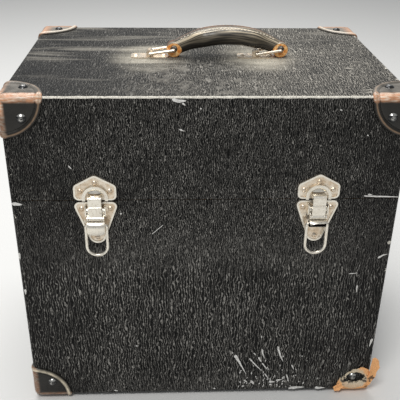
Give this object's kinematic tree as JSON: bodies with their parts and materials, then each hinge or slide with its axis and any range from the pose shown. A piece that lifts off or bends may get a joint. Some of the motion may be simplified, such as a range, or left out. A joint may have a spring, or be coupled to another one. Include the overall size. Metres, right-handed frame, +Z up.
{
  "type": "film projector in carrying case",
  "caption": "Portable film projector standing in a black leathercloth carrying case with hinged lid, draw latches with pull rings, leather corners and a drop handle.",
  "frame": {"origin": "on the floor under the middle of the shut case with its latches and hinges", "axes": "+Z up, front with the latches towards -Y, +X to the right of a person facing the front"},
  "size_m": [0.3896, 0.2832, 0.3903],
  "materials": {
    "leathercloth": "crinkle-grained black coated cloth",
    "plywood": "bare plywood",
    "lining_paper": "matt lining paper",
    "corner_leather": "worn dark leather",
    "grip_leather": "worn dark leather",
    "nickel_plate": "yellowed nickel plate",
    "black_lacquer": "black lacquer",
    "crackle_casting": "black crackle paint",
    "crackle_sheet": "black crackle paint",
    "bare_aluminium": "turned",
    "bright_steel": "turned",
    "brass": "lacquered",
    "clear_glass": "clear",
    "belt_rubber": "matt"
  },
  "bodies": {
    "case": {"case_boards": "plywood", "case_covering": "leathercloth", "case_lining": "lining_paper", "rim_lip": "plywood", "case_corner_caps": "corner_leather", "case_corner_nails": "black_lacquer", "glide_feet": "black_lacquer", "hinge_case_leaves": "nickel_plate", "hinge_pins": "nickel_plate", "hinge_case_rivets": "nickel_plate", "latch_base_left": "nickel_plate", "latch_base_right": "nickel_plate", "latch_rivets": "nickel_plate", "projector_base": "crackle_casting", "mechanism_housing": "crackle_casting", "mechanism_cover": "crackle_casting", "film_gate": "bare_aluminium", "condenser_lens": "clear_glass", "lamphouse": "crackle_sheet", "lamp": "clear_glass", "lamp_socket": "brass", "motor": "crackle_sheet", "drive_belt": "belt_rubber", "supply_arm": "crackle_sheet", "takeup_arm": "crackle_sheet", "takeup_reel": "bright_steel", "reel_cradle": "plywood"},
    "lid": {"lid_boards": "plywood", "lid_covering": "leathercloth", "lid_lining": "lining_paper", "lid_corner_caps": "corner_leather", "lid_corner_nails": "black_lacquer", "hinge_lid_leaves": "nickel_plate", "hinge_lid_rivets": "nickel_plate", "keeper_left": "nickel_plate", "keeper_right": "nickel_plate", "keeper_rivets": "nickel_plate", "handle_anchors": "nickel_plate", "anchor_rivets": "nickel_plate"},
    "lever_left": {"latch_lever_left": "nickel_plate"},
    "claw_left": {"latch_claw_left": "nickel_plate"},
    "ring_left": {"latch_ring_left": "nickel_plate"},
    "lever_right": {"latch_lever_right": "nickel_plate"},
    "claw_right": {"latch_claw_right": "nickel_plate"},
    "ring_right": {"latch_ring_right": "nickel_plate"},
    "link_left": {"handle_link_left": "nickel_plate"},
    "link_right": {"handle_link_right": "nickel_plate"},
    "grip": {"handle_grip": "grip_leather"},
    "main_drive": {"main_shaft": "bright_steel"},
    "sprocket_upper": {"upper_sprocket": "bright_steel"},
    "sprocket_lower": {"lower_sprocket": "bright_steel"},
    "shutter_wheel": {"shutter": "bright_steel"},
    "motor_wheel": {"motor_pulley": "bright_steel"},
    "spindle_supply": {"supply_spindle": "bright_steel"},
    "spindle_takeup": {"takeup_spindle": "bright_steel"},
    "carriage": {"lens_carriage": "bare_aluminium"},
    "lens": {"lens_barrel": "brass", "lens_glass": "clear_glass"},
    "lamp_cap": {"lamphouse_cap": "crackle_sheet"},
    "switch": {"power_switch": "bright_steel"}
  },
  "joints": [
    {"name": "lid_hinge", "type": "hinge", "parent": "case", "child": "lid", "pos_m": [0, 0.13805, 0.2538], "axis": [-1, 0, 0], "range_deg": [0, 110]},
    {"name": "latch_lever_left", "type": "hinge", "parent": "case", "child": "lever_left", "pos_m": [-0.1085, -0.13455, 0.2453], "axis": [-1, 0, 0], "range_deg": [0, 100]},
    {"name": "latch_claw_left", "type": "hinge", "parent": "lever_left", "child": "claw_left", "pos_m": [-0.1085, -0.13935, 0.2388], "axis": [-1, 0, 0], "range_deg": [-120, 0]},
    {"name": "latch_ring_left", "type": "hinge", "parent": "lever_left", "child": "ring_left", "pos_m": [-0.1085, -0.13815, 0.2308], "axis": [-1, 0, 0], "range_deg": [0, 90]},
    {"name": "latch_lever_right", "type": "hinge", "parent": "case", "child": "lever_right", "pos_m": [0.1085, -0.13455, 0.2453], "axis": [-1, 0, 0], "range_deg": [0, 100]},
    {"name": "latch_claw_right", "type": "hinge", "parent": "lever_right", "child": "claw_right", "pos_m": [0.1085, -0.13935, 0.2388], "axis": [-1, 0, 0], "range_deg": [-120, 0]},
    {"name": "latch_ring_right", "type": "hinge", "parent": "lever_right", "child": "ring_right", "pos_m": [0.1085, -0.13815, 0.2308], "axis": [-1, 0, 0], "range_deg": [0, 90]},
    {"name": "handle_link_left", "type": "hinge", "parent": "lid", "child": "link_left", "pos_m": [-0.057, 0.00245, 0.36328], "axis": [0, -1, 0], "range_deg": [0, 163]},
    {"name": "handle_link_right", "type": "hinge", "parent": "lid", "child": "link_right", "pos_m": [0.057, 0.00245, 0.36328], "axis": [0, -1, 0], "range_deg": [0, 163]},
    {"name": "handle_grip", "type": "hinge", "parent": "link_left", "child": "grip", "pos_m": [-0.03128, 0.00245, 0.3671], "axis": [0, -1, 0], "range_deg": [-163, 0]},
    {"name": "main_shaft_turn", "type": "hinge", "parent": "case", "child": "main_drive", "pos_m": [-0.0222, 0.03865, 0.1886], "axis": [0, 1, 0], "continuous": true},
    {"name": "upper_sprocket_turn", "type": "hinge", "parent": "case", "child": "sprocket_upper", "pos_m": [-0.0222, 0.03865, 0.2386], "axis": [0, 1, 0], "continuous": true},
    {"name": "lower_sprocket_turn", "type": "hinge", "parent": "case", "child": "sprocket_lower", "pos_m": [-0.0222, 0.03865, 0.1386], "axis": [0, 1, 0], "continuous": true},
    {"name": "shutter_turn", "type": "hinge", "parent": "case", "child": "shutter_wheel", "pos_m": [-0.0672, 0.04665, 0.1886], "axis": [1, 0, 0], "continuous": true},
    {"name": "motor_turn", "type": "hinge", "parent": "case", "child": "motor_wheel", "pos_m": [-0.0812, 0.08365, 0.0746], "axis": [1, 0, 0], "continuous": true},
    {"name": "supply_spindle_turn", "type": "hinge", "parent": "case", "child": "spindle_supply", "pos_m": [0.1258, 0.01865, 0.26085], "axis": [0, 1, 0], "continuous": true},
    {"name": "takeup_spindle_turn", "type": "hinge", "parent": "case", "child": "spindle_takeup", "pos_m": [0.1258, 0.01865, 0.0636], "axis": [0, 1, 0], "continuous": true},
    {"name": "gate_slide", "type": "slide", "parent": "case", "child": "carriage", "axis": [1, 0, 0], "range_m": [0, 0.008]},
    {"name": "focus_slide", "type": "slide", "parent": "carriage", "child": "lens", "axis": [1, 0, 0], "range_m": [-0.006, 0.01]},
    {"name": "lamp_cap_lift", "type": "slide", "parent": "case", "child": "lamp_cap", "axis": [0, 0, 1], "range_m": [0, 0.04]},
    {"name": "power_switch", "type": "hinge", "parent": "case", "child": "switch", "pos_m": [0.0278, -0.04035, 0.0286], "axis": [-1, 0, 0], "range_deg": [0, 28]}
  ],
  "couplings": [
    {"joint": "latch_claw_left", "follows": "latch_lever_left", "ratio": -1.2},
    {"joint": "latch_claw_right", "follows": "latch_lever_right", "ratio": -1.2},
    {"joint": "handle_link_right", "follows": "handle_link_left", "ratio": 1},
    {"joint": "handle_grip", "follows": "handle_link_left", "ratio": -1},
    {"joint": "motor_turn", "follows": "shutter_turn", "ratio": 1.4396},
    {"joint": "main_shaft_turn", "follows": "shutter_turn", "ratio": 0.125},
    {"joint": "upper_sprocket_turn", "follows": "shutter_turn", "ratio": -0.125},
    {"joint": "lower_sprocket_turn", "follows": "shutter_turn", "ratio": -0.125}
  ]
}
